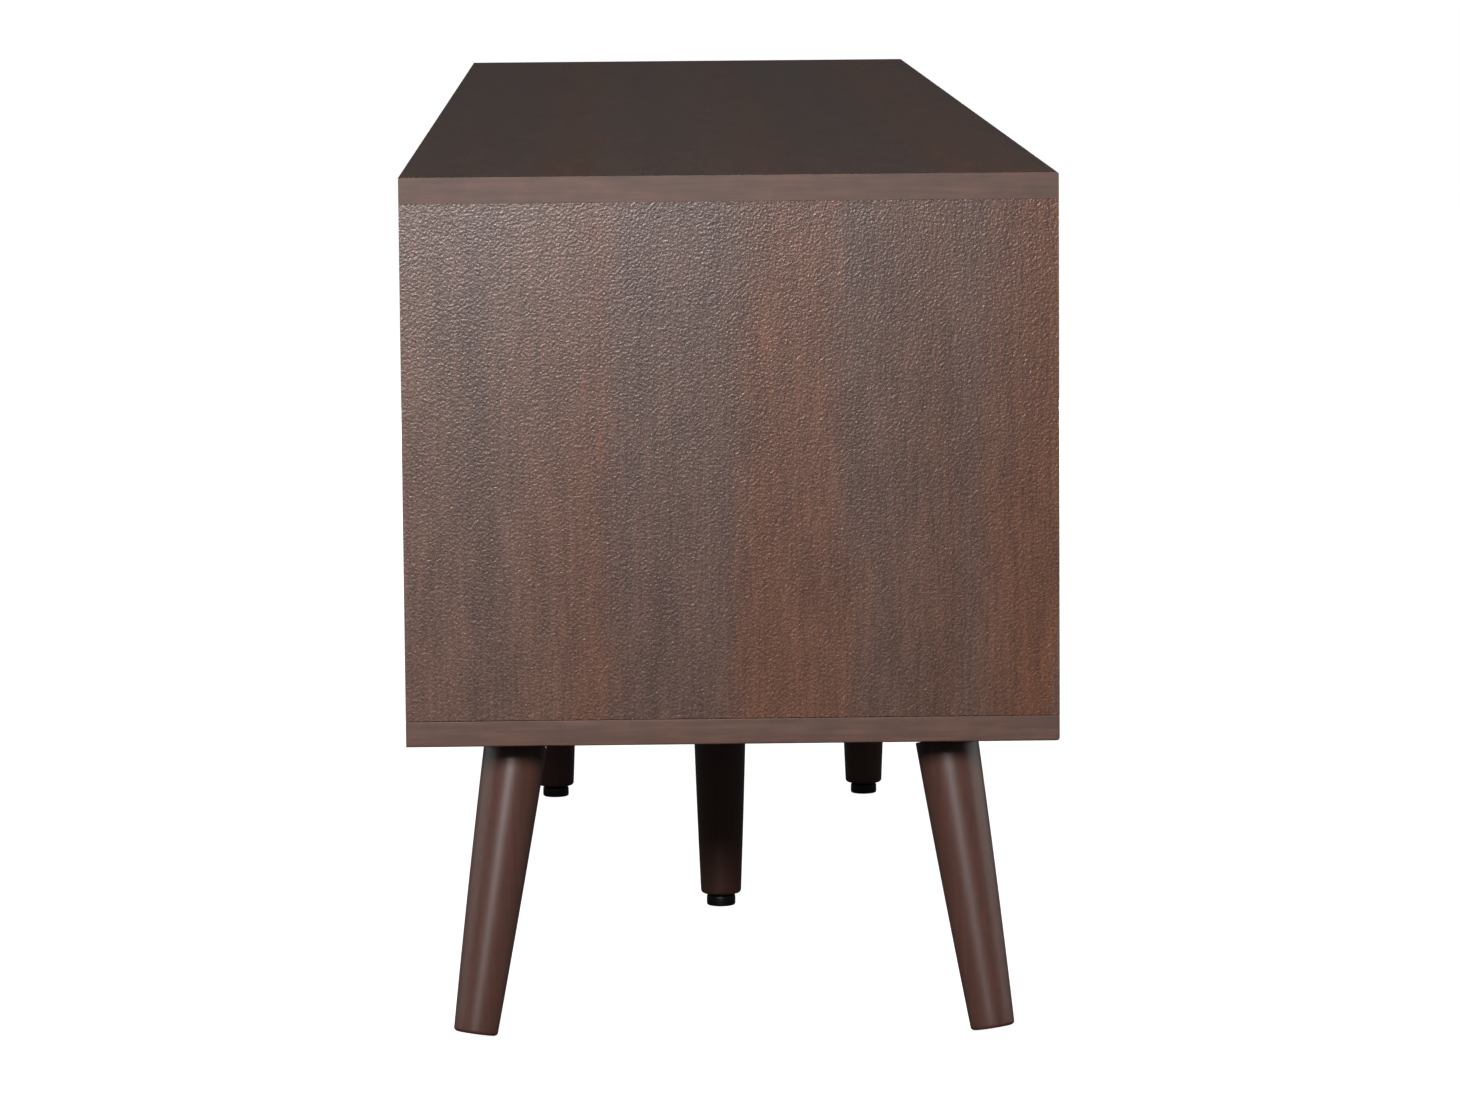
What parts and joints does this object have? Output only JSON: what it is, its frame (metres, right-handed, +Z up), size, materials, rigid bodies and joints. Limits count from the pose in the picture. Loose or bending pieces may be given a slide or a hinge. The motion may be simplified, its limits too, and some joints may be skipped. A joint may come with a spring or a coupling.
{
  "type": "sideboard buffet",
  "caption": "Long low sideboard in walnut-look board on splayed turned legs, with hinged end doors, sliding drawers over open niches, and levelling feet under the middle.",
  "frame": {"origin": "centre of the footprint, knobs included, on the floor", "axes": "+X along the length, to the right as seen from the front; -Y is the front; +Z up"},
  "size_m": [2, 0.422, 0.536],
  "materials": {
    "walnut_foil": "walnut-look melamine foil with a fine pore emboss, semi-matt",
    "drawer_foil": "pale foil on drawer sides, matt",
    "hardboard": "thin printed hardboard, matt",
    "leg_lacquer": "turned hardwood, stained dark and lacquered satin",
    "bare_beech": "planed beech, waxed",
    "zinc_steel": "pressed steel, zinc plated",
    "black_plastic": "moulded black polyamide, satin"
  },
  "bodies": {
    "carcass": {"top_board_left": "walnut_foil", "bottom_board_left": "walnut_foil", "end_panel_left": "walnut_foil", "back_panel_left": "hardboard", "partition_left": "walnut_foil", "drawer_divider_left": "walnut_foil", "top_board_right": "walnut_foil", "bottom_board_right": "walnut_foil", "end_panel_right": "walnut_foil", "back_panel_right": "hardboard", "partition_right": "walnut_foil", "drawer_divider_right": "walnut_foil", "partition_centre": "walnut_foil", "corner_leg_front_left": "leg_lacquer", "corner_plate_front_left": "zinc_steel", "corner_leg_back_left": "leg_lacquer", "corner_plate_back_left": "zinc_steel", "quarter_leg_left": "leg_lacquer", "quarter_plate_left": "zinc_steel", "corner_leg_front_right": "leg_lacquer", "corner_plate_front_right": "zinc_steel", "corner_leg_back_right": "leg_lacquer", "corner_plate_back_right": "zinc_steel", "quarter_leg_right": "leg_lacquer", "quarter_plate_right": "zinc_steel", "centre_leg_front": "leg_lacquer", "centre_leg_back": "leg_lacquer", "centre_rail": "zinc_steel", "left_carcass_leaf_bottom": "zinc_steel", "left_carcass_leaf_top": "zinc_steel", "left_drawer_runner_inner": "bare_beech", "left_drawer_runner_outer": "bare_beech", "right_carcass_leaf_bottom": "zinc_steel", "right_carcass_leaf_top": "zinc_steel", "right_drawer_runner_inner": "bare_beech", "right_drawer_runner_outer": "bare_beech"},
    "left_door": {"left_door_panel": "walnut_foil", "left_door_knob": "leg_lacquer", "left_door_leaf_bottom": "zinc_steel", "left_door_leaf_top": "zinc_steel"},
    "left_drawer": {"left_drawer_front": "walnut_foil", "left_drawer_side_inner": "drawer_foil", "left_drawer_side_outer": "drawer_foil", "left_drawer_back": "drawer_foil", "left_drawer_bottom": "hardboard", "left_drawer_knob": "leg_lacquer"},
    "right_door": {"right_door_panel": "walnut_foil", "right_door_knob": "leg_lacquer", "right_door_leaf_bottom": "zinc_steel", "right_door_leaf_top": "zinc_steel"},
    "right_drawer": {"right_drawer_front": "walnut_foil", "right_drawer_side_inner": "drawer_foil", "right_drawer_side_outer": "drawer_foil", "right_drawer_back": "drawer_foil", "right_drawer_bottom": "hardboard", "right_drawer_knob": "leg_lacquer"},
    "quarter_leveller_left_foot": {"quarter_leveller_left": "black_plastic"},
    "quarter_leveller_right_foot": {"quarter_leveller_right": "black_plastic"},
    "centre_leveller_front_foot": {"centre_leveller_front": "black_plastic"},
    "centre_leveller_back_foot": {"centre_leveller_back": "black_plastic"}
  },
  "joints": [
    {"name": "left_door_hinge", "type": "hinge", "parent": "carcass", "child": "left_door", "pos_m": [-0.967, -0.181, 0.362], "axis": [0, 0, -1], "range_deg": [0, 100]},
    {"name": "right_door_hinge", "type": "hinge", "parent": "carcass", "child": "right_door", "pos_m": [0.967, -0.181, 0.362], "axis": [0, 0, 1], "range_deg": [0, 100]},
    {"name": "left_drawer_slide", "type": "slide", "parent": "carcass", "child": "left_drawer", "axis": [0, -1, 0], "range_m": [0, 0.27]},
    {"name": "right_drawer_slide", "type": "slide", "parent": "carcass", "child": "right_drawer", "axis": [0, -1, 0], "range_m": [0, 0.27]},
    {"name": "quarter_leveller_left_turn", "type": "hinge", "parent": "carcass", "child": "quarter_leveller_left_foot", "pos_m": [-0.496, 0.011, 0.02], "axis": [0, 0, 1], "continuous": true},
    {"name": "quarter_leveller_right_turn", "type": "hinge", "parent": "carcass", "child": "quarter_leveller_right_foot", "pos_m": [0.496, 0.011, 0.02], "axis": [0, 0, 1], "continuous": true},
    {"name": "centre_leveller_front_turn", "type": "hinge", "parent": "carcass", "child": "centre_leveller_front_foot", "pos_m": [0, -0.109, 0.02], "axis": [0, 0, 1], "continuous": true},
    {"name": "centre_leveller_back_turn", "type": "hinge", "parent": "carcass", "child": "centre_leveller_back_foot", "pos_m": [0, 0.131, 0.02], "axis": [0, 0, 1], "continuous": true}
  ]
}
